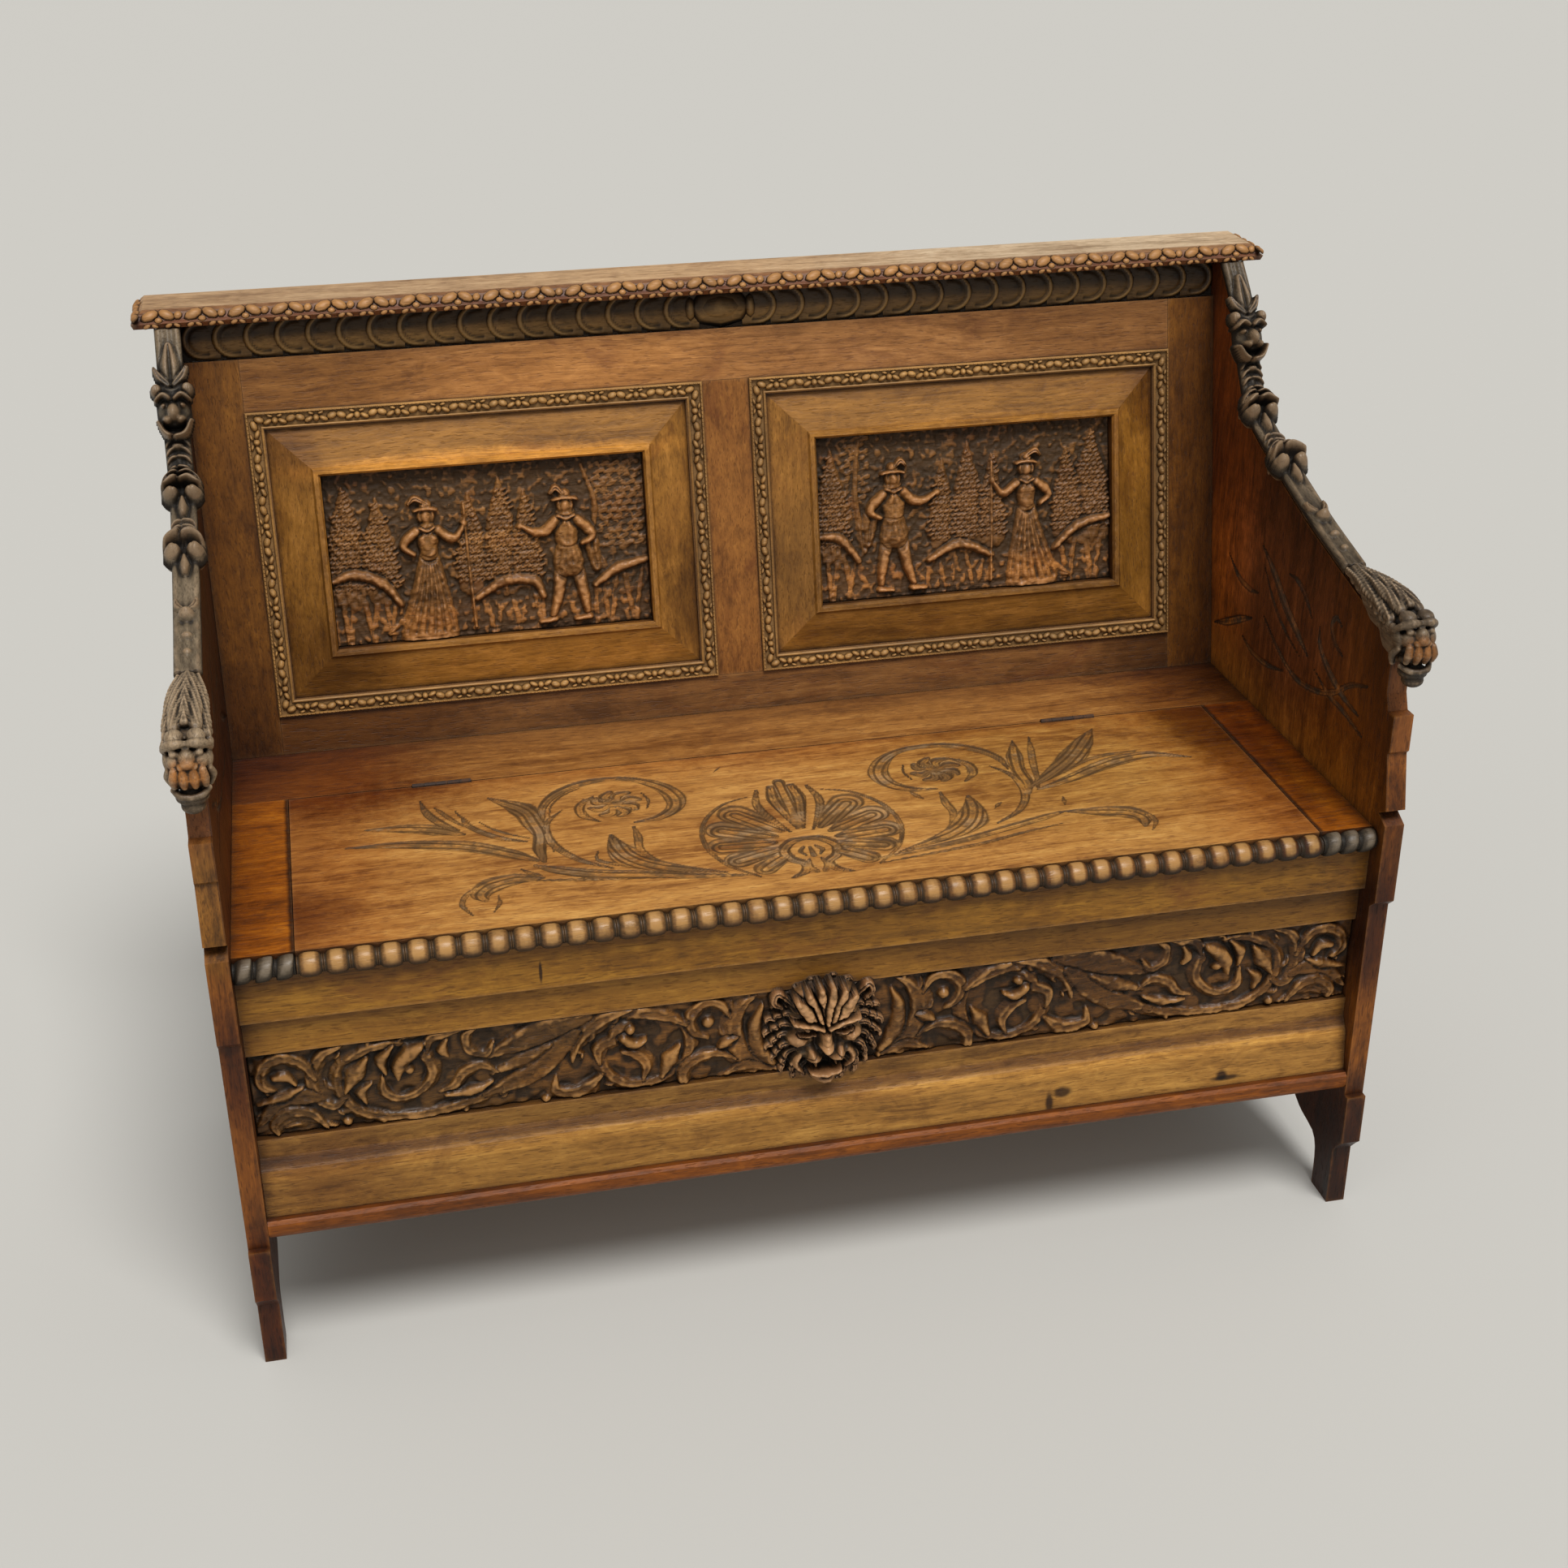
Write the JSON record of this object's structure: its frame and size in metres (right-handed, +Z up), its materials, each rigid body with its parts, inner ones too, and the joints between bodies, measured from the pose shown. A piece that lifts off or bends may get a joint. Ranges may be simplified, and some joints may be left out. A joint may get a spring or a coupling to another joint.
{
  "type": "settle bench",
  "caption": "Panel-back box settle with shaped end boards, a hinged seat lid over a storage box, a moulded top board and carved fronts.",
  "frame": {"origin": "middle of the overall bounding box, on the floor under the feet", "axes": "+X along the bench to the viewer's right, -Y out of the front, +Z up"},
  "size_m": [1.22, 0.592, 0.947],
  "materials": {
    "oak": "waxed golden brown oak",
    "red_oak": "waxed red-brown oak",
    "carved_oak": "carved oak, dark in its hollows",
    "dark_oak": "carved oak, nearly black-brown",
    "plain_oak": "unfinished inner boards",
    "hinge_iron": "dark blued iron"
  },
  "bodies": {
    "frame": {"back_bottom_rail": "oak", "back_floor_cleat": "plain_oak", "back_frieze": "carved_oak", "back_left_stile": "oak", "back_muntin": "oak", "back_right_stile": "oak", "back_top_rail": "oak", "box_back_board": "plain_oak", "box_floor": "plain_oak", "front_board": "oak", "front_bottom_moulding": "red_oak", "front_floor_cleat": "plain_oak", "front_top_rail": "oak", "left_arm_head": "dark_oak", "left_arm_mask": "dark_oak", "left_arm_strip": "dark_oak", "left_bead_return": "dark_oak", "left_bevel_frame": "oak", "left_carved_frieze": "carved_oak", "left_end_board": "red_oak", "left_floor_cleat": "plain_oak", "left_hinge_pin": "hinge_iron", "left_hinge_strip_leaf": "hinge_iron", "left_hinge_strip_screw_1": "hinge_iron", "left_hinge_strip_screw_2": "hinge_iron", "left_leaf_moulding": "carved_oak", "left_scene_panel": "dark_oak", "left_seat_bearer": "plain_oak", "lion_mask": "carved_oak", "right_arm_head": "dark_oak", "right_arm_mask": "dark_oak", "right_arm_strip": "dark_oak", "right_bead_return": "dark_oak", "right_bevel_frame": "oak", "right_carved_frieze": "carved_oak", "right_end_board": "red_oak", "right_floor_cleat": "plain_oak", "right_hinge_pin": "hinge_iron", "right_hinge_strip_leaf": "hinge_iron", "right_hinge_strip_screw_1": "hinge_iron", "right_hinge_strip_screw_2": "hinge_iron", "right_leaf_moulding": "carved_oak", "right_scene_panel": "dark_oak", "right_seat_bearer": "plain_oak", "seat_back_strip": "red_oak", "seat_left_end_piece": "red_oak", "seat_right_end_piece": "red_oak", "top_board": "oak"},
    "lid": {"left_hinge_lid_leaf": "hinge_iron", "left_hinge_lid_screw_1": "hinge_iron", "left_hinge_lid_screw_2": "hinge_iron", "lid_bead_moulding": "oak", "lid_left_batten": "plain_oak", "lid_right_batten": "plain_oak", "right_hinge_lid_leaf": "hinge_iron", "right_hinge_lid_screw_1": "hinge_iron", "right_hinge_lid_screw_2": "hinge_iron", "seat_lid": "oak"}
  },
  "joints": [
    {"name": "lid_hinge", "type": "hinge", "parent": "frame", "child": "lid", "pos_m": [0, 0.0553, 0.4704], "axis": [-1, 0, 0], "range_deg": [0, 115]}
  ]
}
